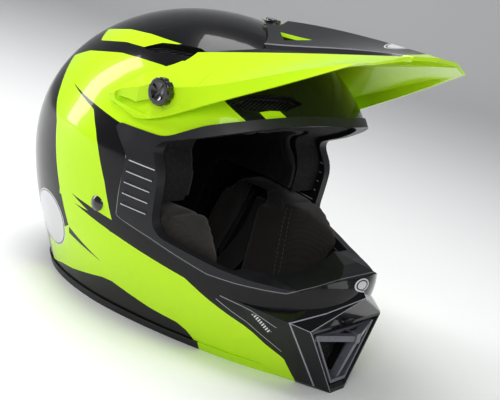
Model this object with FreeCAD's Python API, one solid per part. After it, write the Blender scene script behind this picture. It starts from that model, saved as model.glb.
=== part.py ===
import FreeCAD, Part
import os
from math import atan2, cos, hypot, pi, radians, sin, sqrt, tan

# Motocross helmet standing on its base rim. Millimetres; +Z up, the face looks along -Y,
# the wearer's left is +X. The origin is on the ground under the middle of the helmet.

V = FreeCAD.Vector
X, Y, Z = V(1, 0, 0), V(0, 1, 0), V(0, 0, 1)
LEFT, RIGHT = 1, -1
SIDES = ((LEFT, "left"), (RIGHT, "right"))

# ---- driving dimensions ---------------------------------------------------------------
# The shell's crown is an ellipsoid whose long axis tips up towards the face.
DOME_Y, DOME_Z = 22.0, 138.0
DOME_RX, DOME_RY, DOME_RZ = 124.0, 162.0, 124.0
DOME_PITCH = radians(9.5)
# The jaw is a stack of rounded wedges: height, half width, rear, front, widest y, bluntness.
JAW = (
    (-20, 71, 135, -157, 29, 1.45),
    (-12, 77, 139, -161, 27, 1.50),
    (0, 83, 142, -165, 25, 1.55),
    (30, 98, 149, -168, 21, 1.80),
    (60, 111, 154, -171, 15, 2.10),
    (90, 117, 154, -173, 9, 2.05),
    (120, 119, 151, -158, 7, 2.05),
    (160, 119, 139, -149, 9, 2.00),
    (200, 115, 119, -137, 11, 2.00),
)
JAW_REAR_BLUNTNESS = 2.15
JAW_TOP = 150.0
BLEND_JAW_TOP, BLEND_DOME_JAW = 20.0, 28.0
AXIS_Y, AXIS_Z = 7.0, 135.0        # the line and point that the shell is star-shaped about
REACH = 330.0                      # further from that axis than any surface
SEAM_WRAP = 4                      # columns of points that overlap at the back

WALL = 4.0                         # shell thickness
LINER_GAP = 0.3                    # between the shell and what lines it
TRIM_PROUD, TRIM_DEPTH = 1.4, 7.5  # rubber of the eye port, outside and inside the shell

# Outlines seen from the side: (y, z, corner radius).
PORT_OUTER = ((-215, 98, 0), (-168, 97, 14), (-147, 79.5, 30), (-92, 77, 90), (-11, 97, 4),
              (-12.5, 146, 12), (13, 167, 3), (-34, 168.5, 25), (-58, 186, 60),
              (-113, 213.5, 60), (-215, 219, 0))
PORT_INNER = ((-230, 80, 0), (-125, 84, 40), (-100, 86, 90), (-45, 95, 15),
              (-43, 140, 30), (-28, 162, 8), (-60, 177, 80), (-116, 206.5, 40), (-230, 211, 0))
# The trim is thick over the chin bar: its top seen from the front (x, z), and its rounding from the side.
LIP_DEPTH = 25.0
LIP_ROOF = ((0, 107.5), (20, 100), (40, 91.5), (58, 84.5), (140, 84))
LIP_ROUNDING = ((-100, 113), (-138, 107.5), (-157, 103.5), (-164, 99.5), (-170, 93), (-230, 30))
RIB_COUNT, RIB_TOP, RIB_PITCH = 5, 145.3, 9.0   # grip ribs on the trim's side plates

# Front of the chin: corners of the facets on the left half.
NOSE_TIP = V(0, -179, 83)
NOSE_CHEEK = V(65, -156, 61)
NOSE_BACK = V(89, -103, 65)
MOUTH_TOP = V(54, -170, 58)
MOUTH_BOTTOM = V(10.5, -179, 0)
MOUTH_SIDE = V(20, -168, 3)
NOSE_ROOTS = (V(0, -166, 97), V(60, -80, 0), V(60, -80, 60), V(18, -165, 0))
NOSE_ROUNDING = 1.5
MOUTH_LIP = 5.5                    # frame left around the vent
VENT_DEPTH = 22.0
GRILLE_NODE = V(0, -180.5, 49)     # where the grille's arms meet, ahead of the mouth

# Peak: rails from the rear to the front lip, left half.
PEAK_RIDGE = ((0, 30, 260), (0, -7, 266), (0, -50, 272.5), (0, -110, 277.5), (0, -177, 279))
PEAK_PANEL = ((44, 30, 235), (42, -7, 243.5), (39, -50, 252), (37, -110, 265.5), (35, -174.6, 277.2))
PEAK_CHANNEL = ((46, 30, 232), (45, -7, 239.5), (43, -50, 248), (40.5, -110, 261.5), (37, -174.2, 275.8))
PEAK_EDGE = ((95, 30, 216), (84, -7, 229.5), (73, -50, 242.5), (57, -110, 259.5), (41, -173.4, 276.4))
PEAK_CREASE = ((119.6, 30, 184), (117, -7, 199), (107.5, -50, 214), (93.5, -112, 244), (76, -167, 267.6))
PEAK_LOWER = ((119, 30, 181), (119, -10, 175.5), (110.5, -50, 196.5), (97, -110, 233), (84, -161, 265))
PEAK_THICKNESS = 3.0
PEAK_REAR = ((0, 2), (38, -42), (84, -7), (99, 1), (121, 31))   # rear edge from above
PEAK_CLEARANCE = 1.5
TILT_Y, TILT_Z = -20.5, 200.5      # the peak tips about the line through its side screws
TILT_LIMIT = 5.0                   # degrees each way
RECESS_OUTLINE = ((27, 183, 4), (-14, 216, 10), (-30, 219.5, 8), (-53, 213, 4), (-49, 206, 3), (-17, 180, 8))
RECESS_FLOOR_X = 112.5
RECESS_FLARE = 4.5
RECESS_REAR_RAMP = ((112.5, -9), (116.4, 2), (118.3, 27))      # the floor climbs over the shell
RECESS_LOW_RAMP = ((112.5, 189.3), (117.3, 178))
SCOOP_OUTLINE = ((19, -44), (25, -80), (31, -58))

SCREW_HEAD_R, SCREW_HEAD_H, SCREW_R = 11.0, 6.5, 4.0
SCREW_LOBES = 8
RUNNING_FIT = 0.06
INSERT_R, INSERT_FLANGE_R = 7.0, 10.0
TOP_SCREW_Y, TOP_SCREW_R, TOP_HEAD_R = TILT_Y, 3.0, 6.5
TOP_SEAT_R = 65.8                  # the peak's curved seat, about the tilt axis

# Vents cut square to the shell: centre, outward direction, length direction, length, width, depth.
BROW_VENT = (V(64, -82, 211.5), V(0.55, -0.62, 0.56), V(-0.72, -0.66, 0.22), 56.0, 13.0, 9.0)
CROWN_VENT = (V(83.5, 3, 228.5), V(0.62, -0.1, 0.78), V(-0.2, -0.97, 0.2), 60.0, 11.0, 9.0)
REAR_VENT = (V(52, 168, 150), V(0.3, 0.93, 0.1), V(-0.25, 0.0, 1.0), 44.0, 12.0, 9.0)
MESH_T, MESH_DEPTH = 1.2, 5.0         # mesh thickness, and its depth below the shell

# Head form that the linings leave free: an elliptic cylinder under half an ellipsoid.
HEAD_Y, HEAD_Z = 22.0, 128.0
HEAD_RX, HEAD_RY, HEAD_RZ = 79.0, 104.0, 93.0
COMFORT_T = 9.0                    # crown comfort liner
# The linings' front edge, hidden behind the trim: (y, z, corner radius).
FACE_GAP = ((-230, 60, 0), (-36, 60, 0), (-36, 142, 30), (-24, 165, 8), (-58, 181, 80), (-116, 211, 40),
            (-230, 216, 0))
EPS_SIDE_Z, EPS_REAR_Z, EPS_SPLIT_Y = 116.0, 44.0, 66.0

PAD_PROFILE = ((-84, 16, 14), (-104, 50, 16), (-94, 92, 16), (-60, 109, 20), (30, 111, 14),
               (44, 60, 20), (38, 14, 14))
PAD_INNER_X, PAD_BACK, PAD_BASE = 62.0, 9.3, 6.6    # inner face, and depths inside the shell
SLOT_Y, SLOT_HALF, SLOT_TOP = 10.0, 19.5, 104.5     # strap slot through the cheek pads
STUD_R, STUD_SPOTS = 4.0, ((-72, 68), (-64, 34), (34, 76))

STRAP_Y, STRAP_W, STRAP_T = 10.0, 25.0, 2.2
RIVET_Z, RIVET_HEAD_R, RIVET_R = 99.0, 6.8, 3.0
HANGER_Z, HANGER_INSET = 84.0, 10.6                  # strap bar height, and depth inside the shell
BAR_R = 1.6
RING_WIRE_R, RING_SPAN, RING_DROP = 1.75, 15.0, 14.0
LONG_STRAP = ((100, 52), (72, 24), (38, 10), (14, 8))
SHORT_STRAP = ((101, 66), (84, 55), (63, 50.5))

SNAP_R = 5.5

TRIM_BASE_H, TRIM_BASE_UNDER = 7.5, 2.4


# ---- the shell's form, as a signed field: negative inside, about millimetres -----------
def blend_min(a, b, k):
    h = max(0.0, min(1.0, 0.5 + 0.5 * (b - a) / k))
    return b * (1 - h) + a * h - k * h * (1 - h)


def jaw_section(z):
    """The jaw's measures at one height, by cubic curves through the sections."""
    z = max(JAW[0][0], min(JAW[-1][0], z))
    i = max(k for k in range(len(JAW) - 1) if JAW[k][0] <= z)
    before, low, high, after = JAW[max(i - 1, 0)], JAW[i], JAW[i + 1], JAW[min(i + 2, len(JAW) - 1)]
    step = high[0] - low[0]
    t = (z - low[0]) / step
    measures = []
    for k in range(1, 6):
        rise_low = (high[k] - before[k]) / (high[0] - before[0]) * step
        rise_high = (after[k] - low[k]) / (after[0] - low[0]) * step
        measures.append((2 * t**3 - 3 * t * t + 1) * low[k] + (t**3 - 2 * t * t + t) * rise_low
                        + (3 * t * t - 2 * t**3) * high[k] + (t**3 - t * t) * rise_high)
    return measures


def dome_field(x, y, z):
    dy, dz = y - DOME_Y, z - DOME_Z
    along = dy * cos(DOME_PITCH) - dz * sin(DOME_PITCH)
    up = dy * sin(DOME_PITCH) + dz * cos(DOME_PITCH)
    return (sqrt((x / DOME_RX)**2 + (along / DOME_RY)**2 + (up / DOME_RZ)**2) - 1) * 130


def shell_field(x, y, z):
    width, rear, front, mid, blunt = jaw_section(z)
    dy = y - mid
    length, power = (mid - front, blunt) if dy < 0 else (rear - mid, JAW_REAR_BLUNTNESS)
    g = ((abs(x) / width)**power + (abs(dy) / length)**power)**(1 / power)
    side = (g - 1) * max(hypot(x, dy), 1) / max(g, 1e-6)
    jaw = -blend_min(-side, JAW_TOP - z, BLEND_JAW_TOP)
    return blend_min(dome_field(x, y, z), jaw, BLEND_DOME_JAW)


def swept_field(x, y, z):
    """The shell as the peak meets it anywhere in its tilt."""
    closest = 1e9
    for part in (-1, -0.5, 0, 0.5, 1):
        a = radians(TILT_LIMIT * part)
        dy, dz = y - TILT_Y, z - TILT_Z
        turned = shell_field(x, TILT_Y + dy * cos(a) - dz * sin(a), TILT_Z + dy * sin(a) + dz * cos(a))
        closest = min(closest, turned)
    return closest


def crossing(field, start, way, level, reach=REACH):
    """The point on the ray where the field passes the level."""
    near, far = 0.0, reach
    for _ in range(26):
        middle = (near + far) / 2
        if field(*(start + way * middle)) < level:
            near = middle
        else:
            far = middle
    return start + way * near


def side_point(y, z, depth=0.0, side=LEFT):
    """A point on the shell's side, or that deep inside it."""
    return crossing(shell_field, V(0, y, z), V(side, 0, 0), -depth)


def field_solid(field, level, floor, columns=96, rows=22, rings=20):
    """A closed solid out to one level of the field, cut flat at the floor."""
    ways = [V(sin(2 * pi * k / columns), cos(2 * pi * k / columns), 0) for k in range(columns)]
    below = floor - 2.0

    def level_line(centre, rise):
        found = [crossing(field, centre, way * cos(rise) + Z * sin(rise), level) for way in ways]
        return found[-SEAM_WRAP:] + found + found[:SEAM_WRAP + 1]

    grid = [level_line(V(0, AXIS_Y, below + (AXIS_Z - below) * i / (rows - 1)), 0.0) for i in range(rows)]
    centre = V(0, AXIS_Y, AXIS_Z)
    grid += [level_line(centre, pi / 2 * i / (rings - 1)) for i in range(1, rings - 1)]
    grid.append([crossing(field, centre, Z, level)] * len(grid[0]))
    surface = Part.BSplineSurface()
    surface.interpolate(grid)
    # The columns run on past the seam, so that trimming them there leaves it smooth.
    found = surface.parameter(grid[rows // 4][SEAM_WRAP])[1]
    seam = min(found, 1 - found)
    surface.segment(0, 1, seam, 1 - seam)
    side = surface.toShape()
    rim = max((edge for edge in side.Edges if edge.Closed), key=lambda edge: edge.Length)
    skin = Part.makeShell([side, Part.Face(Part.Plane(V(0, 0, below), Z), Part.Wire([rim]))])
    skin.sewShape(0.1)
    return Part.Solid(skin).common(box_between((-REACH, -REACH, floor), (REACH, REACH, REACH)))


# ---- shapes ---------------------------------------------------------------------------
def mirrored(point):
    return V(-point.x, point.y, point.z)


def both_sides(points):
    return list(points) + [mirrored(p) for p in points if abs(p.x) > 1e-6]


def to_side(shape, side):
    """A shape made for the left, on the named side."""
    return shape if side == LEFT else shape.mirror(V(0, 0, 0), X)


def convex_solid(points):
    """The smallest convex solid around the points."""
    middle = sum(points, V(0, 0, 0)) * (1.0 / len(points))
    faces = {}
    count = len(points)
    for i in range(count):
        for j in range(i + 1, count):
            for k in range(j + 1, count):
                normal = (points[j] - points[i]).cross(points[k] - points[i])
                if normal.Length < 1e-6:
                    continue
                normal.normalize()
                if normal.dot(middle - points[i]) > 0:
                    normal = normal * -1
                if max(normal.dot(p - points[i]) for p in points) > 1e-5:
                    continue
                on = frozenset(m for m in range(count) if abs(normal.dot(points[m] - points[i])) < 1e-5)
                faces[on] = normal
    skin = []
    for on, normal in faces.items():
        centre = sum((points[m] for m in on), V(0, 0, 0)) * (1.0 / len(on))
        across = points[min(on)] - centre
        across.normalize()
        up = normal.cross(across)
        ring = sorted(on, key=lambda m: atan2((points[m] - centre).dot(up), (points[m] - centre).dot(across)))
        corners = [points[m] for m in ring]
        skin.append(Part.Face(Part.makePolygon(corners + corners[:1])))
    shell = Part.makeShell(skin)
    shell.sewShape()
    solid = Part.Solid(shell)
    return solid if solid.Volume > 0 else solid.reversed()


def bar(start, end, across, width, up, height):
    """A straight square bar between two points."""
    corners = []
    for end_point in (start, end):
        for a, b in ((-1, -1), (1, -1), (1, 1), (-1, 1)):
            corners.append(end_point + across * (a * width / 2) + up * (b * height / 2))
    return convex_solid(corners)


def rounded_outline(corners, place):
    """A closed wire with rounded corners; place turns each (u, v) into a point."""
    points = [V(c[0], c[1], 0) for c in corners]
    count = len(points)
    cuts = []
    for i in range(count):
        before = points[i - 1] - points[i]
        after = points[(i + 1) % count] - points[i]
        radius = corners[i][2] if len(corners[i]) > 2 else 0
        half = before.getAngle(after) / 2
        trim = min(radius / tan(half), 0.45 * before.Length, 0.45 * after.Length) if radius else 0
        before.normalize()
        after.normalize()
        start, end = points[i] + before * trim, points[i] + after * trim
        bisector = before + after
        if trim and bisector.Length > 1e-6:
            bisector.normalize()
            real = trim * tan(half)
            middle = points[i] + bisector * (real / sin(half) - real)
            cuts.append((start, middle, end))
        else:
            cuts.append((points[i], None, points[i]))
    edges = []
    for i in range(count):
        start, middle, end = cuts[i]
        if middle is not None:
            edges.append(Part.Arc(*(place(p.x, p.y) for p in (start, middle, end))).toShape())
        following = cuts[(i + 1) % count][0]
        if (following - end).Length > 1e-6:
            edges.append(Part.LineSegment(place(end.x, end.y), place(following.x, following.y)).toShape())
    return Part.Wire(edges)


def side_prism(corners, x_from, x_to):
    """An outline seen from the side, extruded across the helmet."""
    wire = rounded_outline(corners, lambda y, z: V(x_from, y, z))
    return Part.Face(wire).extrude(V(x_to - x_from, 0, 0))


def cylinder(radius, length, base, way):
    return Part.makeCylinder(radius, length, base, way)


def box_between(low, high):
    return Part.makeBox(high[0] - low[0], high[1] - low[1], high[2] - low[2], V(*low))


def band(points, width, thickness, y):
    """Flat webbing: straight runs in the XZ plane, rounded where they meet."""
    start_y = y - width / 2
    pieces = []
    for a, b in zip(points, points[1:]):
        run = V(b[0] - a[0], 0, b[1] - a[1])
        normal = V(-run.z, 0, run.x)
        normal.normalize()
        pieces.append(bar(V(a[0], y, a[1]), V(b[0], y, b[1]), Y, width, normal, thickness))
    for a in points:
        pieces.append(cylinder(thickness / 2, width, V(a[0], start_y, a[1]), Y))
    return pieces[0].multiFuse(pieces[1:]).removeSplitter()


def elliptic_head(grow):
    """The head form, grown on every side."""
    ball = Part.makeSphere(1.0)
    ball = ball.common(box_between((-2, -2, 0), (2, 2, 2)))
    matrix = FreeCAD.Matrix()
    matrix.scale(HEAD_RX + grow, HEAD_RY + grow, HEAD_RZ + grow)
    ball = ball.transformGeometry(matrix)
    ball.translate(V(0, HEAD_Y, HEAD_Z))
    ellipse = Part.Ellipse(V(0, HEAD_Y, -20), HEAD_RY + grow, HEAD_RX + grow)
    edge = ellipse.toShape()
    edge.rotate(V(0, HEAD_Y, -20), Z, 90)
    neck = Part.Face(Part.Wire([edge])).extrude(V(0, 0, HEAD_Z + 20))
    return ball.fuse(neck).removeSplitter()


def slot_cutter(vent, grow=0.0, start=-12.0, depth=None):
    """A long hexagon, pointed at both ends, sunk square into the shell."""
    centre, out, along, length, width, full = vent
    out, along = V(out), V(along)
    out.normalize()
    along = along - out * along.dot(out)
    along.normalize()
    across = out.cross(along)
    half_l, half_w = length / 2 + grow, width / 2 + grow
    corners = []
    for u, v in ((-1, 0.1), (-0.62, 1), (0.5, 1), (1, -0.2), (0.66, -1), (-0.5, -1)):
        corners.append(centre + along * (u * half_l) + across * (v * half_w))
    top = [c - out * start for c in corners]
    bottom = [c - out * (depth if depth is not None else full) for c in corners]
    return convex_solid(top + bottom)


nodes = {}


def node(name, shape):
    """Keep one named part."""
    nodes[name] = shape


# ---- the shell ------------------------------------------------------------------------
outer_form = field_solid(shell_field, 0.0, 0.0)
inner_form = field_solid(shell_field, -WALL, -12.0)
lining_form = field_solid(shell_field, -WALL - LINER_GAP, -12.0)
port_outer = side_prism(PORT_OUTER, -170, 170)
port_inner = side_prism(PORT_INNER, -170, 170)


def mouth_point(x, s, depth=0.0):
    """A point of the chin vent: x across, s from top 0 to bottom 1, depth inwards."""
    centre = V(0, MOUTH_TOP.y, MOUTH_TOP.z) * (1 - s) + V(0, MOUTH_BOTTOM.y, MOUTH_BOTTOM.z) * s
    inwards = V(0, MOUTH_TOP.z - MOUTH_BOTTOM.z, MOUTH_BOTTOM.y - MOUTH_TOP.y)
    inwards.normalize()
    return centre + inwards * depth + V(x, 0, 0)


def mouth_ring(lip, depth, top=0.09, bottom=0.86):
    """Four corners of the vent's opening, that far inside the facet's edges."""
    corners = []
    for s in (top, bottom):
        half = MOUTH_TOP.x * (1 - s) + MOUTH_BOTTOM.x * s - lip
        corners += [mouth_point(half, s, depth), mouth_point(-half, s, depth)]
    return corners


def nose_block():
    """The faceted nose of the chin bar, its creases rounded."""
    block = convex_solid(both_sides([NOSE_TIP, NOSE_CHEEK, NOSE_BACK, MOUTH_TOP, MOUTH_BOTTOM, MOUTH_SIDE,
                                     *NOSE_ROOTS]))
    # One wedge cuts the plane of the vent and the undercut between it and the tip.
    brow = V(0, MOUTH_TOP.y, MOUTH_TOP.z)
    ahead = brow + (NOSE_TIP - brow) * 3
    below = brow + (V(0, MOUTH_BOTTOM.y, MOUTH_BOTTOM.z) - brow) * 1.5
    ends = [V(side * 120, 0, 0) for side in (LEFT, RIGHT)]
    wedge = convex_solid([p + end for end in ends for p in (brow, ahead, below, V(0, -240, below.z))])
    block = block.cut(wedge)
    creases = ((NOSE_CHEEK, MOUTH_TOP), (NOSE_CHEEK, MOUTH_SIDE), (MOUTH_TOP, mirrored(MOUTH_TOP)),
               (NOSE_TIP, MOUTH_TOP))

    def is_crease(edge):
        ends = [edge.Vertexes[0].Point, edge.Vertexes[-1].Point]
        for p, q in creases:
            for near, far in ((p, q), (mirrored(p), mirrored(q))):
                for a, b in ((near, far), (far, near)):
                    if (ends[0] - a).Length < 0.5 and (ends[1] - b).Length < 0.5:
                        return True
        return False

    return block.makeFillet(NOSE_ROUNDING, [edge for edge in block.Edges if is_crease(edge)])


def outer_shell():
    bar_front = outer_form.common(box_between((-95, -240, -1), (95, -60, 112)))
    shell = outer_form.fuse(nose_block().cut(bar_front))
    shell = shell.cut(inner_form.cut(box_between((-200, -260, -20), (200, -158, 75))))
    shell = shell.cut(port_outer)
    flare = convex_solid(mouth_ring(1.2, -0.6, 0.03, 0.95) + mouth_ring(MOUTH_LIP, 5.0))
    passage = convex_solid(mouth_ring(MOUTH_LIP, -3.0) + mouth_ring(MOUTH_LIP + 2, 60.0, 0.12, 0.8))
    shell = shell.cut(flare).cut(passage)
    for side, _ in SIDES:
        hole = side_point(TILT_Y, TILT_Z)
        drill = cylinder(INSERT_R, 30, V(hole.x - 20, TILT_Y, TILT_Z), X)
        rivet_hole = cylinder(RIVET_R, 40, V(95, STRAP_Y, RIVET_Z), X)
        for cutter in (drill, rivet_hole, slot_cutter(BROW_VENT), slot_cutter(CROWN_VENT),
                       slot_cutter(REAR_VENT)):
            shell = shell.cut(to_side(cutter, side))
    shell = shell.cut(cylinder(INSERT_R, 30, V(0, TOP_SCREW_Y, 245), Z))
    return shell


shell = outer_shell()
trim_out = field_solid(shell_field, TRIM_PROUD, -2.0)
trim_in = field_solid(shell_field, -TRIM_DEPTH, -14.0)


def base_trim():
    """Rubber bead around the neck edge, wrapped under the shell's rim."""
    ring = trim_out.cut(trim_in).common(box_between((-200, -138, 0), (200, 200, TRIM_BASE_H)))
    under = ring.common(box_between((-200, -200, -1), (200, 200, TRIM_BASE_UNDER)))
    return ring, under


ring, under = base_trim()
shell = shell.cut(under)
node("outer_shell", shell)
node("base_trim", ring.cut(shell))


def eye_port_trim():
    """Rubber surround of the eye port, thick over the chin bar, with grip ribs on its side plates."""
    lip = trim_out.cut(field_solid(shell_field, -LIP_DEPTH, -14.0))
    lip = lip.common(box_between((-140, -260, 60), (140, -106, 125)))
    band_ = trim_out.cut(trim_in).fuse(lip).common(port_outer)
    roof = [V(x, -300, z) for x, z in LIP_ROOF + ((140, 400),)]
    roof = [mirrored(p) for p in reversed(roof[1:])] + roof
    above = Part.Face(Part.makePolygon(roof + roof[:1])).extrude(Y * 500)
    rounding = side_prism(LIP_ROUNDING + ((-230, 300), (-100, 300)), -140, 140)
    trim = band_.cut(port_inner.common(above)).cut(rounding.common(box_between((-60, -260, 85), (60, -120, 125))))
    trim = trim.common(box_between((-200, -260, 60), (200, 60, 240)))
    ribs = []
    for i in range(RIB_COUNT):
        z = RIB_TOP - i * RIB_PITCH
        for side in (LEFT, RIGHT):
            front = side_point(-39 - 0.12 * i, z, 0.6, side)
            rear = side_point(-15 - 0.6 * i, z, 0.6, side)
            out = V(side, 0, 0)
            ribs.append(bar(front + out * 1.2, rear + out * 1.2, Z, 1.8, out, 2.6))
    return trim.multiFuse(ribs)


node("eye_port_trim", eye_port_trim())


# ---- vents ----------------------------------------------------------------------------
def chin_grille():
    """Frame and the forward-pointing arms of the chin vent."""
    seat = convex_solid(mouth_ring(MOUTH_LIP + 0.3, 1.0) + mouth_ring(MOUTH_LIP + 0.9, 14.0, 0.105, 0.83))
    inside = convex_solid(mouth_ring(MOUTH_LIP + 2.6, -4.0, 0.13, 0.82)
                          + mouth_ring(MOUTH_LIP + 3.2, 20.0, 0.145, 0.79))
    frame = seat.cut(inside)
    arms = [bar(mouth_point(side * 43, 0.12, 5), GRILLE_NODE, Z, 5.0, Y, 6.0) for side in (LEFT, RIGHT)]
    stem = bar(GRILLE_NODE + V(0, 0, 1), mouth_point(0, 0.84, 6), X, 5.0, Y, 6.0)
    brow = bar(GRILLE_NODE + V(0, 0, 3), mouth_point(0, 0.105, 5), X, 5.0, Y, 6.0)
    node_block = bar(GRILLE_NODE + V(0, 0, 5), GRILLE_NODE - V(0, 0, 4), X, 7.0, Y, 6.0)
    return frame.multiFuse(arms + [stem, brow, node_block]).cut(nodes["outer_shell"])


def chin_mesh():
    return convex_solid(mouth_ring(MOUTH_LIP + 2.2, VENT_DEPTH, 0.125, 0.81)
                        + mouth_ring(MOUTH_LIP + 2.25, VENT_DEPTH + MESH_T, 0.126, 0.809))


node("chin_vent_grille", chin_grille())
node("chin_vent_mesh", chin_mesh())
for side, label in SIDES:
    for name, vent in (("brow", BROW_VENT), ("crown", CROWN_VENT), ("rear", REAR_VENT)):
        plate = slot_cutter(vent, grow=-0.25, start=MESH_DEPTH, depth=MESH_DEPTH + MESH_T)
        node(f"{name}_vent_mesh_{label}", to_side(plate, side))


# ---- the peak -------------------------------------------------------------------------
def rail(points, shift=V(0, 0, 0)):
    curve = Part.BSplineCurve()
    curve.interpolate([V(*p) + shift for p in points])
    return curve.toShape()


def sheet_between(outer_a, outer_b, shift_a, shift_b):
    """A solid strip between two rails, thickened by moving each rail inwards."""
    a, b = rail(outer_a), rail(outer_b)
    a_in, b_in = rail(outer_a, shift_a), rail(outer_b, shift_b)
    faces = [Part.makeRuledSurface(a, b), Part.makeRuledSurface(a_in, b_in),
             Part.makeRuledSurface(a, a_in), Part.makeRuledSurface(b, b_in)]
    for at in (0, -1):
        ends = [V(*outer_a[at]), V(*outer_b[at]), V(*outer_b[at]) + shift_b, V(*outer_a[at]) + shift_a]
        halves = (ends[:3], [ends[0], ends[2], ends[3]])
        faces += [Part.Face(Part.makePolygon(half + half[:1])) for half in halves]
    shell_ = Part.makeShell(faces)
    shell_.sewShape(0.01)
    solid = Part.Solid(shell_)
    return solid if solid.Volume > 0 else solid.reversed()


def peak():
    down = V(0, 0, -PEAK_THICKNESS)
    edge_in = V(-1.2, 0, -PEAK_THICKNESS)
    crease_in = V(-PEAK_THICKNESS, 0, -1.2)
    lower_in = V(-PEAK_THICKNESS, 0, 0)
    strips = [
        sheet_between(PEAK_RIDGE, PEAK_PANEL, down, down),
        sheet_between(PEAK_PANEL, PEAK_CHANNEL, down, down),
        sheet_between(PEAK_CHANNEL, PEAK_EDGE, down, edge_in),
        sheet_between(PEAK_EDGE, PEAK_CREASE, edge_in, crease_in),
        sheet_between(PEAK_CREASE, PEAK_LOWER, crease_in, lower_in),
    ]
    pod_points = [V(*rail_[i]) for rail_ in (PEAK_EDGE, PEAK_CREASE, PEAK_LOWER) for i in (0, 1, 2)]
    pod = convex_solid(pod_points + [p - V(30, 0, 0) for p in pod_points])
    pod = pod.common(box_between((60, -46, 150), (140, 60, 224)))
    half = strips[0].multiFuse(strips[1:] + [pod])
    rear = [V(x, y, 150) for x, y in PEAK_REAR] + [V(140, 31, 150), V(140, 90, 150), V(0, 90, 150)]
    rear_cutter = Part.Face(Part.makePolygon(rear + rear[:1])).extrude(V(0, 0, 160))
    half = half.cut(rear_cutter)
    half = half.cut(recess_cutter())
    scoop = [V(x, y, 240) for x, y in SCOOP_OUTLINE]
    half = half.cut(Part.Face(Part.makePolygon(scoop + scoop[:1])).extrude(V(0, 0, 50)))
    half = half.cut(cylinder(SCREW_R + RUNNING_FIT, 60, V(80, TILT_Y, TILT_Z), X))
    half = half.cut(cylinder(INSERT_R + 1, 60, V(RECESS_FLOOR_X - 63.2, TILT_Y, TILT_Z), X))
    whole = half.fuse(half.mirror(V(0, 0, 0), X))
    whole = whole.cut(field_solid(swept_field, PEAK_CLEARANCE, 60.0, 72, 10, 22))
    return whole.cut(top_slot())


def recess_cutter():
    """The sunk seat around a side screw, with sloping walls."""
    floor = rounded_outline(RECESS_OUTLINE, lambda y, z: V(RECESS_FLOOR_X, y, z))
    grown = []
    for y, z, radius in RECESS_OUTLINE:
        reach = hypot(y - TILT_Y, z - TILT_Z)
        grow = 1 + RECESS_FLARE / reach
        grown.append((TILT_Y + (y - TILT_Y) * grow, TILT_Z + (z - TILT_Z) * grow, radius + 1.5))
    mouth = rounded_outline(grown, lambda y, z: V(RECESS_FLOOR_X + 12, y, z))
    seat = Part.makeLoft([floor, mouth], True, True)
    rear = [V(x, y, 140) for x, y in RECESS_REAR_RAMP + ((118.3, 50), (80, 50), (80, -9))]
    low = [V(x, -90, z) for x, z in RECESS_LOW_RAMP + ((117.3, 150), (80, 150), (80, 189.3))]
    for ramp, way in ((rear, Z * 100), (low, Y * 160)):
        seat = seat.cut(Part.Face(Part.makePolygon(ramp + ramp[:1])).extrude(way))
    return seat


def top_slot():
    """Slot and curved seat for the top screw, which lets the peak tip."""
    half = 66 * sin(radians(TILT_LIMIT)) + 0.8
    centre = V(0, TOP_SCREW_Y, 240)
    width = TOP_SCREW_R + 0.4
    slot = box_between((-width, TOP_SCREW_Y - half, 240), (width, TOP_SCREW_Y + half, 300))
    for way in (-1, 1):
        slot = slot.fuse(cylinder(width, 60, centre + V(0, way * half, 0), Z))
    seat = box_between((-9, TOP_SCREW_Y - half - 8, 250), (9, TOP_SCREW_Y + half + 8, 300))
    drum = cylinder(TOP_SEAT_R, 40, V(-20, TILT_Y, TILT_Z), X)
    return slot.fuse(seat.cut(drum))


peak_shape = peak()
node("peak", peak_shape)


# ---- peak screws, washers and threaded inserts -----------------------------------------
def side_screw():
    """Large lobed head with a cross slot, on a plain shank; made for the left side."""
    seat = RECESS_FLOOR_X + 1.0
    head = cylinder(SCREW_HEAD_R, SCREW_HEAD_H, V(seat, TILT_Y, TILT_Z), X)
    head = head.makeFillet(1.8, [e for e in head.Edges if e.BoundBox.XMin > seat + SCREW_HEAD_H - 0.1])
    cutters = []
    for i in range(SCREW_LOBES):
        a = 2 * pi * (i + 0.5) / SCREW_LOBES
        spot = V(seat - 1, TILT_Y + cos(a) * (SCREW_HEAD_R + 1.4), TILT_Z + sin(a) * (SCREW_HEAD_R + 1.4))
        cutters.append(cylinder(2.6, 12, spot, X))
    for a in (35, 125):
        groove = Part.makeBox(3, 15, 2.0, V(seat + SCREW_HEAD_H - 1.8, TILT_Y - 7.5, TILT_Z - 1.0))
        groove.rotate(V(0, TILT_Y, TILT_Z), X, a)
        cutters.append(groove)
    dish = Part.makeSphere(14, V(seat + SCREW_HEAD_H + 12.2, TILT_Y, TILT_Z))
    head = head.cut(cutters[0].multiFuse(cutters[1:])).cut(dish)
    shank_from = side_point(TILT_Y, TILT_Z).x - 12
    return head.fuse(cylinder(SCREW_R, seat - shank_from + 1, V(shank_from, TILT_Y, TILT_Z), X))


def side_insert():
    """Threaded insert, flanged inside the shell; made for the left side."""
    surface = side_point(TILT_Y, TILT_Z).x
    inner = surface - WALL - 8.0
    body = cylinder(INSERT_R, RECESS_FLOOR_X - 3.6 - inner, V(inner, TILT_Y, TILT_Z), X)
    flange = cylinder(INSERT_FLANGE_R, 2.0, V(inner - 1.5, TILT_Y, TILT_Z), X)
    return body.fuse(flange).cut(cylinder(SCREW_R + RUNNING_FIT, 40, V(inner - 20, TILT_Y, TILT_Z), X))


washer = cylinder(SCREW_HEAD_R - 1.6, 1.0, V(RECESS_FLOOR_X, TILT_Y, TILT_Z), X)
washer = washer.cut(cylinder(SCREW_R, 5, V(RECESS_FLOOR_X - 2, TILT_Y, TILT_Z), X))
for side, label in SIDES:
    node(f"peak_screw_{label}", to_side(side_screw(), side))
    node(f"peak_washer_{label}", to_side(washer, side))
    node(f"peak_insert_{label}", to_side(side_insert(), side))

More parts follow.
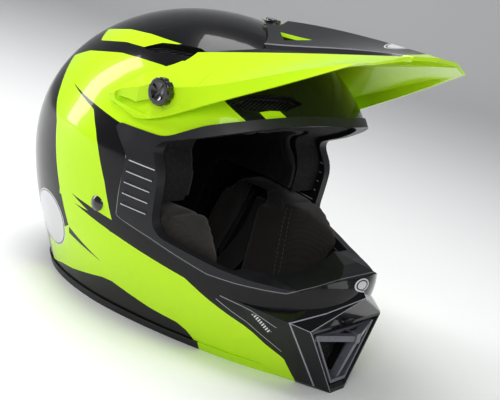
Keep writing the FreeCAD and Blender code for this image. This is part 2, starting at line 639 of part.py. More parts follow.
top_seat_z = TILT_Z + TOP_SEAT_R
dome_top = crossing(shell_field, V(0, TOP_SCREW_Y, 150), Z, 0).z
top_head = cylinder(TOP_HEAD_R, 1.7, V(0, TOP_SCREW_Y, top_seat_z + 0.3), Z)
top_head = top_head.makeFillet(0.8, [e for e in top_head.Edges if e.BoundBox.ZMin > top_seat_z + 1.9])
for turn in (0, 90):
    groove = Part.makeBox(7, 1.4, 3, V(-3.5, TOP_SCREW_Y - 0.7, top_seat_z + 1.2))
    groove.rotate(V(0, TOP_SCREW_Y, 0), Z, turn)
    top_head = top_head.cut(groove)
shank = cylinder(TOP_SCREW_R, top_seat_z - dome_top + 12, V(0, TOP_SCREW_Y, dome_top - 11), Z)
node("peak_screw_top", top_head.fuse(shank))
insert = cylinder(INSERT_R, 9, V(0, TOP_SCREW_Y, dome_top - 9), Z)
insert = insert.fuse(cylinder(INSERT_FLANGE_R, 1.8, V(0, TOP_SCREW_Y, dome_top - WALL - 6.4), Z))
node("peak_insert_top", insert.cut(cylinder(TOP_SCREW_R + RUNNING_FIT, 40, V(0, TOP_SCREW_Y, dome_top - 25), Z)))


# ---- linings --------------------------------------------------------------------------
head_outer = elliptic_head(COMFORT_T + LINER_GAP)
comfort_outer = elliptic_head(COMFORT_T)
comfort_inner = elliptic_head(0.0)
face_gap = side_prism(FACE_GAP, -170, 170)


def crown_liner():
    """Expanded foam that takes the impact, moulded to the shell."""
    above = side_prism(((-200, EPS_SIDE_Z), (EPS_SPLIT_Y - 16, EPS_SIDE_Z), (EPS_SPLIT_Y, EPS_REAR_Z),
                        (220, EPS_REAR_Z), (220, 300), (-200, 300)), -170, 170)
    foam = lining_form.common(above).cut(head_outer).cut(face_gap)
    foam = foam.cut(port_outer.common(trim_out.cut(field_solid(shell_field, -TRIM_DEPTH - LINER_GAP, -14.0))))
    for side, _ in SIDES:
        pocket = cylinder(INSERT_FLANGE_R + 1, 40, V(side_point(TILT_Y, TILT_Z).x - 24, TILT_Y, TILT_Z), X)
        for cutter in (pocket, slot_cutter(BROW_VENT), slot_cutter(CROWN_VENT), slot_cutter(REAR_VENT)):
            foam = foam.cut(to_side(cutter, side))
    return foam.cut(cylinder(INSERT_FLANGE_R + 1, 60, V(0, TOP_SCREW_Y, dome_top - 24), Z))


node("crown_liner", crown_liner())
comfort = comfort_outer.cut(comfort_inner).cut(face_gap).common(side_prism(
    ((-200, EPS_SIDE_Z), (EPS_SPLIT_Y - 12, EPS_SIDE_Z), (EPS_SPLIT_Y + 3, 52), (220, 52), (220, 300),
     (-200, 300)), -170, 170))
node("comfort_liner", comfort)


def chin_liner():
    """Foam strip inside the chin bar, open behind the vent."""
    foam = lining_form.cut(field_solid(shell_field, -18.0, -12.0))
    foam = foam.common(box_between((-130, -200, 12), (130, -107, 76)))
    passage = convex_solid(mouth_ring(MOUTH_LIP + 1, 4.0) + mouth_ring(MOUTH_LIP + 1, 80.0, 0.1, 0.82))
    return foam.cut(passage).cut(box_between((-200, -260, -20), (200, -157.6, 76)))


node("chin_liner", chin_liner())


# ---- cheek pads -----------------------------------------------------------------------
pad_back = field_solid(shell_field, -PAD_BACK, -12.0)
pad_base = field_solid(shell_field, -PAD_BASE, -12.0)


def pad_slot(grow=0.0):
    half = SLOT_HALF + grow
    return box_between((20, SLOT_Y - half, -5), (160, SLOT_Y + half, SLOT_TOP + grow))


def cheek_pad():
    profile = side_prism(PAD_PROFILE, PAD_INNER_X, 150)
    pad = pad_back.common(profile)
    wedge = convex_solid([V(PAD_INNER_X - 1, -110, z) for z in (0, 120)] + [V(96, -110, z) for z in (0, 120)]
                         + [V(PAD_INNER_X - 1, -52, z) for z in (0, 120)])
    pad = pad.cut(wedge).cut(elliptic_head(0.4).common(box_between((-200, -200, 96), (200, 200, 300))))
    return pad.cut(pad_slot())


def cheek_base():
    """Plastic plate behind the pad, with holes for the snap studs."""
    profile = side_prism([(y * 0.9, 62 + (z - 62) * 0.88, r) for y, z, r in PAD_PROFILE], 60, 150)
    plate = pad_base.cut(pad_back).common(profile).cut(pad_slot(1.0)).cut(port_outer)
    for y, z in STUD_SPOTS:
        plate = plate.cut(cylinder(STUD_R + 0.4, 100, V(50, y, z), X))
    return plate


def snap_studs():
    """Three studs on the shell that the cheek pad snaps over."""
    studs = []
    for y, z in STUD_SPOTS:
        tip = side_point(y, z, PAD_BACK - 0.3)
        stud = cylinder(STUD_R, 20, V(tip.x - 0.6, y, z), X)
        studs.append(stud.common(inner_form))
    return Part.makeCompound([s.Solids[0] for s in studs])


for side, label in SIDES:
    pad = cheek_pad()
    for y, z in STUD_SPOTS:
        pad = pad.cut(cylinder(STUD_R + 0.4, 60, V(side_point(y, z, PAD_BACK).x - 1.6, y, z), X))
    node(f"cheek_pad_{label}", to_side(pad, side))
    node(f"cheek_pad_base_{label}", to_side(cheek_base(), side))
    node(f"cheek_snaps_{label}", to_side(snap_studs(), side))

roll_ring = field_solid(shell_field, -TRIM_DEPTH - 0.4, -12.0).cut(elliptic_head(3.0))
node("neck_roll", roll_ring.common(box_between((-130, 50, 9), (130, 200, 42))))


# ---- chin strap -----------------------------------------------------------------------
def strap_rivet():
    """Domed rivet outside the shell, with its shank; made for the left side."""
    surface = side_point(STRAP_Y, RIVET_Z).x
    cap = Part.makeSphere(RIVET_HEAD_R * 1.45, V(surface - 7.0, STRAP_Y, RIVET_Z))
    cap = cap.common(cylinder(RIVET_HEAD_R, 20, V(surface + 0.1, STRAP_Y, RIVET_Z), X))
    shank_ = cylinder(RIVET_R, 12, V(surface - 11, STRAP_Y, RIVET_Z), X)
    return cap.cut(outer_form).fuse(shank_)


def hanger():
    """Steel plate under the rivet, with a bar that the webbing loops around."""
    bar_x = side_point(STRAP_Y, HANGER_Z).x - HANGER_INSET
    plate_x = side_point(STRAP_Y, RIVET_Z).x - WALL - 3.2
    half = STRAP_W / 2 + 1.0
    plate = box_between((plate_x - 1.6, STRAP_Y - half - 2, RIVET_Z - 6), (plate_x, STRAP_Y + half + 2, RIVET_Z + 4))
    plate = plate.cut(cylinder(RIVET_R, 20, V(plate_x - 10, STRAP_Y, RIVET_Z), X))
    rod = cylinder(BAR_R, 2 * half + 4, V(bar_x, STRAP_Y - half - 2, HANGER_Z), Y)
    arms = []
    for way in (-1, 1):
        y = STRAP_Y + way * (half + 1)
        arms.append(bar(V(plate_x - 0.8, y, RIVET_Z - 4), V(bar_x, y, HANGER_Z), Y, 2.0, X, 3.2))
    return plate.multiFuse(arms + [rod]), V(bar_x, STRAP_Y, HANGER_Z)


rivet_shape = strap_rivet()
hanger_shape, bar_centre = hanger()


def strap(route, loop_r=4.2):
    """Webbing from its loop around the hanger's bar along the route."""
    start = (bar_centre.x, bar_centre.z)
    first = V(route[0][0] - start[0], 0, route[0][1] - start[1])
    first.normalize()
    begin = (start[0] + first.x * 2.6, start[1] + first.z * 2.6)
    webbing = band((begin,) + route, STRAP_W, STRAP_T, STRAP_Y)
    loop = cylinder(loop_r, STRAP_W, V(start[0], STRAP_Y - STRAP_W / 2, start[1]), Y)
    hole = cylinder(BAR_R + RUNNING_FIT, STRAP_W + 2, V(start[0], STRAP_Y - STRAP_W / 2 - 1, start[1]), Y)
    return webbing.fuse(loop).cut(hole).removeSplitter()


RING_BARS = ((60.5, 49.0), (54.0, 47.0))          # bar centres of the two rings, inner then outer


def ring_loop():
    """End of the short strap, folded around the two ring bars."""
    cores = []
    holes = []
    for x, z in RING_BARS:
        cores.append(cylinder(4.0, STRAP_W, V(x, STRAP_Y - STRAP_W / 2, z), Y))
        holes.append(cylinder(RING_WIRE_R + RUNNING_FIT, STRAP_W + 2, V(x, STRAP_Y - STRAP_W / 2 - 1, z), Y))
    link = convex_solid([V(x, STRAP_Y + w * STRAP_W / 2, z + s * 2.0)
                         for x, z in RING_BARS for w in (-1, 1) for s in (-1, 1)])
    return cores[0].multiFuse([cores[1], link]), holes[0].fuse(holes[1])


def d_ring(x, z):
    """Round wire bent to a D: a straight bar on top, hanging straight down."""
    y_low, y_high = STRAP_Y - RING_SPAN, STRAP_Y + RING_SPAN
    pieces = [cylinder(RING_WIRE_R, 2 * RING_SPAN, V(x, y_low, z), Y)]
    for y in (y_low, y_high):
        pieces.append(Part.makeSphere(RING_WIRE_R, V(x, y, z)))
        pieces.append(cylinder(RING_WIRE_R, RING_DROP, V(x, y, z - RING_DROP), Z))
    bow = Part.makeTorus(RING_SPAN, RING_WIRE_R, V(x, STRAP_Y, z - RING_DROP), X)
    bow = bow.common(box_between((x - 5, y_low - 5, z - RING_DROP - 30), (x + 5, y_high + 5, z - RING_DROP)))
    return pieces[0].multiFuse(pieces[1:] + [bow])


short_end, ring_holes = ring_loop()
short = strap(SHORT_STRAP).fuse(short_end).cut(ring_holes).removeSplitter()
long_ = strap(LONG_STRAP)
node("strap_left", long_)
node("strap_right", to_side(short, RIGHT))
node("d_ring_inner", to_side(d_ring(*RING_BARS[0]), RIGHT))
node("d_ring_outer", to_side(d_ring(*RING_BARS[1]), RIGHT))
for side, label in SIDES:
    node(f"strap_rivet_{label}", to_side(rivet_shape, side))
    node(f"strap_hanger_{label}", to_side(hanger_shape, side))


def snap_stud():
    """Press stud that parks the strap's loose end, square to the webbing."""
    (x0, z0), (x1, z1) = LONG_STRAP[-2:]
    run = V(x1 - x0, 0, z1 - z0)
    up = V(-run.z, 0, run.x)
    up = up * (1 if up.z > 0 else -1)
    up.normalize()
    foot = V(x0, STRAP_Y, z0) + run * 0.42 + up * (STRAP_T / 2 + 0.02)
    return cylinder(SNAP_R, 1.6, foot, up).fuse(cylinder(SNAP_R * 0.45, 3.4, foot, up))


node("strap_snap_stud", snap_stud())


# ---- write the parts ------------------------------------------------------------------
os.makedirs("parts", exist_ok=True)
for name, shape in nodes.items():
    solids = [s for s in shape.Solids if s.Volume > 1.0]
    kept = solids[0] if len(solids) == 1 else Part.makeCompound(solids)
    box = kept.BoundBox
    print(f"{name}: {len(solids)} solid(s), volume {kept.Volume / 1000:.2f} cm3, valid {kept.isValid()}, "
          f"x {box.XMin:.1f}..{box.XMax:.1f} y {box.YMin:.1f}..{box.YMax:.1f} z {box.ZMin:.1f}..{box.ZMax:.1f}")
    kept.exportStep(f"parts/{name}.step")
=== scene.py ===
from math import atan2, cos, exp, hypot, pi, radians, sin

import bpy
from mathutils import Matrix, Vector
from mathutils.bvhtree import BVHTree


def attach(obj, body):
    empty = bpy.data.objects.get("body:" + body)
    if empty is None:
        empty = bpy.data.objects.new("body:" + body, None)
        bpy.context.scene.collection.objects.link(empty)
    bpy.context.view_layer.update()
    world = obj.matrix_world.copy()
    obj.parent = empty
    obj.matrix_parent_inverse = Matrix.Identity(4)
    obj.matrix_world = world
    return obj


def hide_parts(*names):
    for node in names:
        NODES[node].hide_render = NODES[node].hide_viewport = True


# A motocross helmet: what it is made of, how it is painted and padded, its light and camera.
# Lengths here are millimetres unless they end in _m; the scene is in metres.

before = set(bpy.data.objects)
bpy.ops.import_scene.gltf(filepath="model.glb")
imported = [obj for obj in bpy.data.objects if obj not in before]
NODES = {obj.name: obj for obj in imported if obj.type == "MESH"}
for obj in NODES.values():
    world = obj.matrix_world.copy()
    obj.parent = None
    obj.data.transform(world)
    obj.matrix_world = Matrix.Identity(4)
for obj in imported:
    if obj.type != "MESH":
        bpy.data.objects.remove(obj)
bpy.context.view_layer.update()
MM = 0.001
SIDES = ((1, "left"), (-1, "right"))

BLACK = (0.0045, 0.0045, 0.0055)
YELLOW = (0.52, 0.84, 0.010)
DEEP_YELLOW = (0.49, 0.81, 0.009)
# PAINTED_HIGHLIGHT is the grey of painted highlights along creases and edges.
PAINTED_HIGHLIGHT = (0.36, 0.36, 0.42)
WHITE = (0.60, 0.60, 0.62)


# ---- shader building ------------------------------------------------------------------
class Shader:
    """A node material built by calls that return sockets. Positions are in millimetres."""

    def __init__(self, name, **settings):
        self.material = bpy.data.materials.new(name)
        self.material.use_nodes = True
        self.tree = self.material.node_tree
        self.bsdf = self.tree.nodes["Principled BSDF"]
        for key, value in settings.items():
            self.bsdf.inputs[key.replace("_", " ")].default_value = value
        place = self.add("TexCoord").outputs["Object"]
        self.place = self.add("VectorMath", ((0, place), (3, 1000.0)), operation="SCALE").outputs[0]
        split = self.add("SeparateXYZ", ((0, self.place),))
        self.x, self.y, self.z = split.outputs
        self.ax = self.math("ABSOLUTE", self.x)

    def add(self, kind, inputs=(), **settings):
        node = self.tree.nodes.new("ShaderNode" + kind)
        for key, value in settings.items():
            setattr(node, key, value)
        for key, value in inputs:
            self.put(node.inputs[key], value)
        return node

    def put(self, socket, value):
        if isinstance(value, bpy.types.NodeSocket):
            self.tree.links.new(value, socket)
        else:
            socket.default_value = value

    def math(self, operation, *values):
        return self.add("Math", enumerate(values), operation=operation).outputs[0]

    def lowest(self, *values):
        found = values[0]
        for value in values[1:]:
            found = self.math("MINIMUM", found, value)
        return found

    def highest(self, *values):
        found = values[0]
        for value in values[1:]:
            found = self.math("MAXIMUM", found, value)
        return found

    def above(self, value, limit=0.0):
        return self.math("GREATER_THAN", value, limit)

    def plane(self, a, b, ca, cb, c):
        return self.math("MULTIPLY_ADD", b, cb, self.math("MULTIPLY_ADD", a, ca, c))

    def polygon(self, a, b, corners):
        """How far a point is inside a convex polygon in the (a, b) plane."""
        area = sum(p[0] * q[1] - q[0] * p[1] for p, q in zip(corners, corners[1:] + corners[:1]))
        turn = 1 if area > 0 else -1
        walls = []
        for p, q in zip(corners, corners[1:] + corners[:1]):
            length = hypot(q[0] - p[0], q[1] - p[1])
            ca, cb = -turn * (q[1] - p[1]) / length, turn * (q[0] - p[0]) / length
            walls.append(self.plane(a, b, ca, cb, -(ca * p[0] + cb * p[1])))
        return self.lowest(*walls)

    def stroke(self, a, b, points, width):
        """Inside a line drawn through the points."""
        runs = []
        for p, q in zip(points, points[1:]):
            length = hypot(q[0] - p[0], q[1] - p[1])
            ux, uy = (q[0] - p[0]) / length, (q[1] - p[1]) / length
            off = self.math("ABSOLUTE", self.plane(a, b, -uy, ux, uy * p[0] - ux * p[1]))
            along = self.plane(a, b, ux, uy, -(ux * p[0] + uy * p[1]) - length / 2)
            inside = self.math("SUBTRACT", length / 2 + width * 0.4, self.math("ABSOLUTE", along))
            runs.append(self.lowest(inside, self.math("SUBTRACT", width / 2, off)))
        return self.highest(*runs)

    def graph(self, value, points, low=-240.0, high=300.0):
        """A broken line through the points: the second number of each, for a value of the first."""
        span = high - low
        node = self.add("FloatCurve")
        self.put(node.inputs["Value"], self.math("MULTIPLY_ADD", value, 1 / span, -low / span))
        curve = node.mapping.curves[0]
        places = [((p - low) / span, (q - low) / span) for p, q in sorted(points)]
        places = [(0.0, places[0][1])] + places + [(1.0, places[-1][1])]
        while len(curve.points) < len(places):
            curve.points.new(0.5, 0.5)
        for point, place in zip(curve.points, places):
            point.location = place
            point.handle_type = "VECTOR"
        node.mapping.update()
        return self.math("MULTIPLY_ADD", node.outputs[0], span, low)

    def between(self, value, low, high):
        return self.lowest(self.math("SUBTRACT", value, low), self.math("SUBTRACT", high, value))

    def oval(self, a, b, centre, half_a, half_b, tilt=0.0):
        """About how far a point is inside an ellipse."""
        c, s = cos(radians(tilt)), sin(radians(tilt))
        u = self.plane(a, b, c / half_a, s / half_a, -(c * centre[0] + s * centre[1]) / half_a)
        v = self.plane(a, b, -s / half_b, c / half_b, (s * centre[0] - c * centre[1]) / half_b)
        reach = self.math("SQRT", self.math("MULTIPLY_ADD", u, u, self.math("MULTIPLY", v, v)))
        return self.math("MULTIPLY_ADD", reach, -min(half_a, half_b), min(half_a, half_b))

    def noise(self, size, detail=2.0, roughness=0.5):
        return self.add("TexNoise", (("Vector", self.place), ("Scale", 1 / size), ("Detail", detail),
                                     ("Roughness", roughness))).outputs["Fac"]

    def cells(self, size, feature="F1", randomness=1.0):
        node = self.add("TexVoronoi", feature=feature)
        self.put(node.inputs["Vector"], self.place)
        self.put(node.inputs["Scale"], 1 / size)
        self.put(node.inputs["Randomness"], randomness)
        return node.outputs["Distance"]

    def ramp(self, value, low, high, to_low=0.0, to_high=1.0):
        return self.add("MapRange", ((0, value), (1, low), (2, high), (3, to_low), (4, to_high))).outputs[0]

    def mix(self, share, first, second):
        node = self.add("Mix", data_type="RGBA")
        for socket, value in ((node.inputs[0], share), (node.inputs[6], first), (node.inputs[7], second)):
            if isinstance(value, tuple):
                value = value + (1.0,)
            self.put(socket, value)
        return node.outputs[2]

    def paint(self, colour):
        self.put(self.bsdf.inputs["Base Color"], colour if not isinstance(colour, tuple) else colour + (1.0,))

    def rough(self, value):
        self.put(self.bsdf.inputs["Roughness"], value)

    def bump(self, height, distance, strength=1.0, coat=False):
        node = self.add("Bump", (("Height", height), ("Distance", distance * MM), ("Strength", strength)))
        self.put(self.bsdf.inputs["Normal"], node.outputs[0])
        if coat:
            self.put(self.bsdf.inputs["Coat Normal"], node.outputs[0])


def shown(node, material):
    """A CAD node that stays, with its finished material."""
    data = NODES[node].data
    data.materials.clear()
    data.materials.append(material)


# ---- paint of the shell ---------------------------------------------------------------
# Outlines of the colours, as (y, z) seen from the side; both sides are alike.
UNDER_PEAK_LOW = ((-81, 196), (-60, 184), (-44, 174), (-32, 169), (-23, 167), (1, 165.5), (13, 167),
                  (86, 177), (106, 172), (107, 172))
UNDER_PEAK_TOP = ((-90, 216), (3, 216), (24, 215), (48, 213), (93, 203), (120, 192))
UNDER_PEAK_FRONT = ((-81, 196), (-59, 206), (-40, 232))
BAND_FRONT = ((80, -7), (90, -7), (119, 5), (143, 19), (154, 27), (167, 40), (177, 86))       # (z, y)
BAND_REAR = ((80, 60), (93, 60), (144, 82), (159, 97), (172, 106), (192, 120))                # (z, y)
LOWER_TOP = ((-153, 2), (-147, 22), (-134, 31), (-127, 38), (-76, 68), (-7, 80), (59, 92))
LOWER_BOTTOM = ((-153, -9), (-79, -9), (-77, 4), (-70, 15), (-62, 20), (-39, 23), (-1, 32), (10, 31),
                (51, 20), (72, 16), (97, 8))
REAR_WEDGES = (((8, 47), (46, 63), (47, 57)), ((46, 63), (59, 92), (110, 170), (110, 20), (90, 34), (47, 57)))
CREASE_WEDGE = ((42, 95), (-7, 90.5), (-7, 79.5))
CROWN_TOP = ((3, 234), (37, 233), (65, 230), (104, 221))
CROWN_LOW = ((3, 234), (30, 223), (54, 221), (91, 213), (104, 221))
BROW_PATCH = ((-83, 205), (-91, 210), (-98, 206), (-90, 201))
BASE_PANEL = ((-78, 4), (-70, 15), (-62, 20), (-39, 23), (-1, 32), (10, 31), (51, 20), (97, 8))
# The chin and nose lines are painted highlights: silver strokes along creases, not paint on the shell.
CHIN_HIGHLIGHTS = (((-104, 64), (-126, 60), (-145, 52)), ((-101, 60), (-125, 45), (-146, 29)))
CHIN_PATCH = ((-126, 57), (-131, 57), (-141, 46), (-138, 44))
NOSE_HIGHLIGHTS = (((0, 83), (65, 61), (54, 58)), ((65, 61), (20, 3)), ((1, 82), (54, 58), (10.5, 1)))   # (x, z)
REAR_OVAL = ((82, 57), 29, 25, -12)
CHIN_OVAL = ((0, 91.5), 11, 5)


def oval_badge(shader, colour, inside):
    """A blank oval: a dark ring between a white rim and a white middle."""
    colour = shader.mix(shader.above(inside), colour, WHITE)
    ring = shader.between(inside, 1.0, 1.9)
    return shader.mix(shader.above(ring), colour, (0.02, 0.02, 0.025))


def shell_paint():
    s = Shader("shell_paint", Coat_Weight=0.5, Coat_Roughness=0.03, Coat_IOR=1.4, Specular_IOR_Level=0.08)
    y, z = s.y, s.z
    under_peak = s.lowest(
        s.math("SUBTRACT", z, s.graph(y, UNDER_PEAK_LOW)), s.math("SUBTRACT", s.graph(y, UNDER_PEAK_TOP), z),
        s.math("SUBTRACT", s.graph(y, ((-100, 185), (-81, 196), (-59, 206), (-30, 238))), z),
        s.between(y, -82.0, 107.0))
    rear_top = s.polygon(y, z, ((100, 165), (106, 172), (120, 192), (93, 203), (90, 170)))
    band = s.lowest(s.between(y, s.graph(z, BAND_FRONT), s.graph(z, BAND_REAR)), s.between(z, 88.0, 178.0))
    lower = s.lowest(s.math("SUBTRACT", s.graph(y, LOWER_TOP), z),
                     s.math("SUBTRACT", z, s.graph(y, LOWER_BOTTOM)), s.between(y, -153.0, 97.0))
    for wedge in REAR_WEDGES:
        lower = s.lowest(lower, s.math("MULTIPLY", s.polygon(y, z, wedge), -1.0))
    crown = s.lowest(s.math("SUBTRACT", s.graph(y, CROWN_TOP), z),
                     s.math("SUBTRACT", z, s.graph(y, CROWN_LOW)), s.between(y, 3.0, 104.0))
    patch = s.polygon(y, z, BROW_PATCH)
    yellow = s.highest(under_peak, rear_top, band, lower, crown, patch)
    yellow = s.lowest(yellow, s.math("MULTIPLY", s.polygon(y, z, CREASE_WEDGE), -1.0))
    tone = s.noise(60, 1)
    colour = s.mix(s.above(yellow), BLACK, s.mix(tone, YELLOW, DEEP_YELLOW))
    # Painted highlights: silver strokes along the creases of the chin and nose.
    lines = s.highest(*(s.stroke(y, z, line, 0.7) for line in CHIN_HIGHLIGHTS))
    front = s.lowest(s.highest(*(s.stroke(s.ax, z, line, 0.55) for line in NOSE_HIGHLIGHTS)),
                     s.math("SUBTRACT", -152.0, y))
    crease_highlight = s.math("MULTIPLY", s.above(s.highest(lines, front)), 0.75)
    colour = s.mix(crease_highlight, colour, PAINTED_HIGHLIGHT)
    bars = s.above(s.math("SINE", s.plane(y, z, 2.6, 2.0, 0.0)), -0.1)
    weave = s.math("MULTIPLY", s.above(s.polygon(y, z, CHIN_PATCH)), bars)
    colour = s.mix(weave, colour, (0.62, 0.62, 0.66))
    colour = oval_badge(s, colour, s.lowest(s.oval(y, z, *REAR_OVAL), s.math("SUBTRACT", s.ax, 40.0)))
    colour = oval_badge(s, colour, s.lowest(s.oval(s.x, z, *CHIN_OVAL), s.math("SUBTRACT", -160.0, y)))
    outwards = s.add("VectorMath", ((0, s.place), (1, (0.0, 7.0, 118.0))), operation="SUBTRACT").outputs[0]
    facing = s.add("VectorMath", ((0, outwards), (1, s.add("NewGeometry").outputs["True Normal"])),
                   operation="DOT_PRODUCT").outputs["Value"]
    outside = s.above(facing)
    s.paint(s.mix(outside, (0.012, 0.012, 0.013), colour))
    panel = s.above(s.math("SUBTRACT", s.graph(y, BASE_PANEL), z))
    s.rough(s.lowest(s.ramp(panel, 0, 1, 0.22, 0.42), s.ramp(outside, 0, 1, 0.7, 1.0)))
    s.put(s.bsdf.inputs["Coat Weight"], s.math("MULTIPLY", outside, 0.5))
    s.bump(s.noise(7, 1), 0.02, 0.35)
    return s.material


# ---- paint of the peak ----------------------------------------------------------------
PANEL_EDGE = ((-178, 34.5), (-174.6, 35), (-110, 37), (-50, 39), (-7, 42), (30, 44))          # (y, x)
CHANNEL_EDGE = ((-178, 37.5), (-173, 41), (-110, 57), (-50, 73), (-7, 84), (30, 95))
PEAK_OVAL = ((0, -141), 17, 8)


def peak_paint():
    s = Shader("peak_paint", Coat_Weight=0.5, Coat_Roughness=0.05, Coat_IOR=1.4, Specular_IOR_Level=0.12)
    split = s.add("SeparateXYZ", ((0, s.add("NewGeometry").outputs["True Normal"]),))
    up = split.outputs[2]
    top = s.math("SUBTRACT", up, 0.45)
    inside = s.math("SUBTRACT", s.graph(s.y, CHANNEL_EDGE, -240, 140), s.ax)
    behind_lip = s.math("ADD", s.y, 166.0)
    panel = s.lowest(s.above(top), s.above(inside), s.above(behind_lip))
    tone = s.noise(60, 1)
    colour = s.mix(panel, s.mix(tone, YELLOW, DEEP_YELLOW), (0.012, 0.012, 0.014))
    # A thin silver line along the panel edge is a painted highlight on its bevel.
    edge = s.math("SUBTRACT", s.graph(s.y, PANEL_EDGE, -240, 140), s.ax)
    line = s.lowest(s.above(s.math("SUBTRACT", 0.6, s.math("ABSOLUTE", edge))), panel)
    colour = s.mix(s.math("MULTIPLY", line, 0.5), colour, PAINTED_HIGHLIGHT)
    badge = s.lowest(s.oval(s.x, s.y, *PEAK_OVAL), s.math("MULTIPLY", top, 40.0))
    colour = oval_badge(s, colour, badge)
    s.paint(colour)
    s.rough(0.25)
    s.bump(s.noise(7, 1), 0.02, 0.3)
    return s.material


# ---- rubber, plastic, foam, metal, cloth ------------------------------------------------
TRIM_LINE = ((13, 166.2), (-11.6, 145.5), (-12, 97.5), (-17, 95.5), (-44, 90.5), (-69, 84.2), (-93, 78.6),
             (-114, 78.6), (-133, 80), (-146, 81.2), (-158, 90), (-168, 99))
RIBS, RIB_TOP, RIB_PITCH = 5, 145.3, 9.0


def rubber(name, colour, roughness, lines=False):
    s = Shader(name, Specular_IOR_Level=0.28)
    wear = s.noise(18, 3)
    base = s.mix(wear, colour, tuple(c * 1.5 for c in colour))
    # With lines, grey strokes along the trim's outer edge and the tops of the ribs are painted highlights.
    if lines:
        painted_highlights = [s.math("MULTIPLY", s.above(s.stroke(s.y, s.z, TRIM_LINE, 0.55)), 0.4)]
        for i in range(RIBS):
            z = RIB_TOP - i * RIB_PITCH
            run = s.stroke(s.y, s.z, ((-38.5, z - 1.4), (-15.5, z - 1.4)), 0.8)
            painted_highlights.append(s.lowest(s.above(run), s.above(s.ax, 100.0)))
        base = s.mix(s.highest(*painted_highlights), base, (0.55, 0.55, 0.6))
    s.paint(base)
    s.rough(s.ramp(wear, 0.3, 0.7, roughness - 0.05, roughness + 0.08))
    s.bump(s.noise(0.55, 2), 0.05, 0.5)
    return s.material


def base_edge():
    """The bead round the neck edge: black, and yellow under the yellow of the jaw."""
    s = Shader("base_edge", Specular_IOR_Level=0.28)
    wear = s.noise(18, 3)
    base = s.mix(wear, (0.009, 0.009, 0.010), (0.014, 0.014, 0.015))
    s.paint(s.mix(s.above(s.between(s.y, -139.5, -78.5)), base, DEEP_YELLOW))
    s.rough(s.ramp(wear, 0.3, 0.7, 0.38, 0.5))
    s.bump(s.noise(0.55, 2), 0.04, 0.4)
    return s.material


def plastic(name, colour, roughness, grain=0.4, depth=0.03, coat=0.0):
    s = Shader(name, Coat_Weight=coat, Coat_Roughness=0.08, Specular_IOR_Level=0.4)
    wear = s.noise(9, 3)
    s.paint(s.mix(wear, colour, tuple(min(1, c * 1.25) for c in colour)))
    s.rough(s.ramp(wear, 0.3, 0.7, roughness - 0.04, roughness + 0.06))
    s.bump(s.noise(grain, 2), depth, 0.6)
    return s.material


def metal(name, colour, roughness, brushed=False):
    s = Shader(name, Metallic=1.0)
    wear = s.noise(4, 4)
    s.paint(s.mix(wear, colour, tuple(c * 0.8 for c in colour)))
    s.rough(s.ramp(wear, 0.3, 0.7, roughness - 0.06, roughness + 0.1))
    s.bump(s.noise(0.35 if brushed else 1.2, 2), 0.02, 0.4)
    return s.material


def bead_foam():
    """Expanded foam: fused beads, charcoal."""
    s = Shader("bead_foam", Specular_IOR_Level=0.25)
    bead = s.cells(3.4)
    s.paint(s.mix(s.ramp(bead, 0.1, 0.6), (0.010, 0.010, 0.011), (0.004, 0.004, 0.0045)))
    s.rough(0.85)
    s.bump(s.ramp(bead, 0.0, 0.7, 1.0, 0.0), 0.35, 0.8)
    return s.material


def knit(name, colour, pitch, depth=0.25, sheen=0.25, holes=0.0):
    """Knitted cloth: small cells in rows, with fuzz and uneven colour."""
    s = Shader(name, Sheen_Weight=sheen, Sheen_Roughness=0.5, Specular_IOR_Level=0.15)
    ways = []
    for ca, cb, cc in ((1.0, 0.62, 0.18), (-0.35, 1.0, 0.66), (0.5, -0.3, 1.0)):
        run = s.math("MULTIPLY_ADD", s.z, cc, s.plane(s.x, s.y, ca, cb, 0.0))
        ways.append(s.math("SINE", s.math("MULTIPLY", run, 2 * pi / pitch)))
    loops = s.math("MULTIPLY_ADD", s.math("ADD", s.math("ADD", ways[0], ways[1]), ways[2]), 1 / 6, 0.5)
    fade = s.noise(14, 3)
    base = s.mix(fade, colour, tuple(c * 1.45 for c in colour))
    dark = s.ramp(loops, 0.1, 0.55, 0.75 if holes else 0.45, 0.0)
    s.paint(s.mix(dark, base, tuple(c * 0.12 for c in colour)))
    s.rough(0.9)
    fuzz = s.math("MULTIPLY_ADD", s.noise(0.6, 3), 0.5, loops)
    s.bump(fuzz, depth, 0.9)
    return s.material


def webbing_cloth():
    """Woven strap: ribs across, threads over and under."""
    s = Shader("strap_webbing", Sheen_Weight=0.2, Sheen_Roughness=0.4, Specular_IOR_Level=0.3)
    run = s.math("ADD", s.x, s.z)
    warp = s.math("SINE", s.math("MULTIPLY", s.y, 2 * pi / 1.25))
    weft = s.math("SINE", s.math("MULTIPLY", run, 2 * pi / 1.7))
    over = s.math("MULTIPLY_ADD", s.math("MULTIPLY", warp, weft), 0.5, 0.5)
    s.paint(s.mix(over, (0.008, 0.008, 0.009), (0.03, 0.03, 0.033)))
    s.rough(0.65)
    s.bump(s.math("MULTIPLY_ADD", s.noise(0.4, 2), 0.4, over), 0.2, 0.8)
    return s.material


# ---- meshes -----------------------------------------------------------------------------
def new_piece(name, points, faces, body, material, smooth=True):
    mesh = bpy.data.meshes.new(name)
    mesh.from_pydata([tuple(p) for p in points], [], faces)
    mesh.validate()
    mesh.update()
    for face in mesh.polygons:
        face.use_smooth = smooth
    piece = bpy.data.objects.new(name, mesh)
    bpy.context.collection.objects.link(piece)
    mesh.materials.append(material)
    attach(piece, body)
    return piece


def tube(points, faces, start, end, radius, sides=6):
    """Adds a closed straight wire to a growing mesh."""
    way = (end - start).normalized()
    across = way.orthogonal().normalized()
    up = way.cross(across)
    base = len(points)
    for at in (start, end):
        for k in range(sides):
            a = 2 * pi * k / sides
            points.append(at + (across * cos(a) + up * sin(a)) * radius)
    for k in range(sides):
        n = (k + 1) % sides
        faces.append((base + k, base + n, base + sides + n, base + sides + k))
    faces.append(tuple(base + k for k in reversed(range(sides))))
    faces.append(tuple(base + sides + k for k in range(sides)))


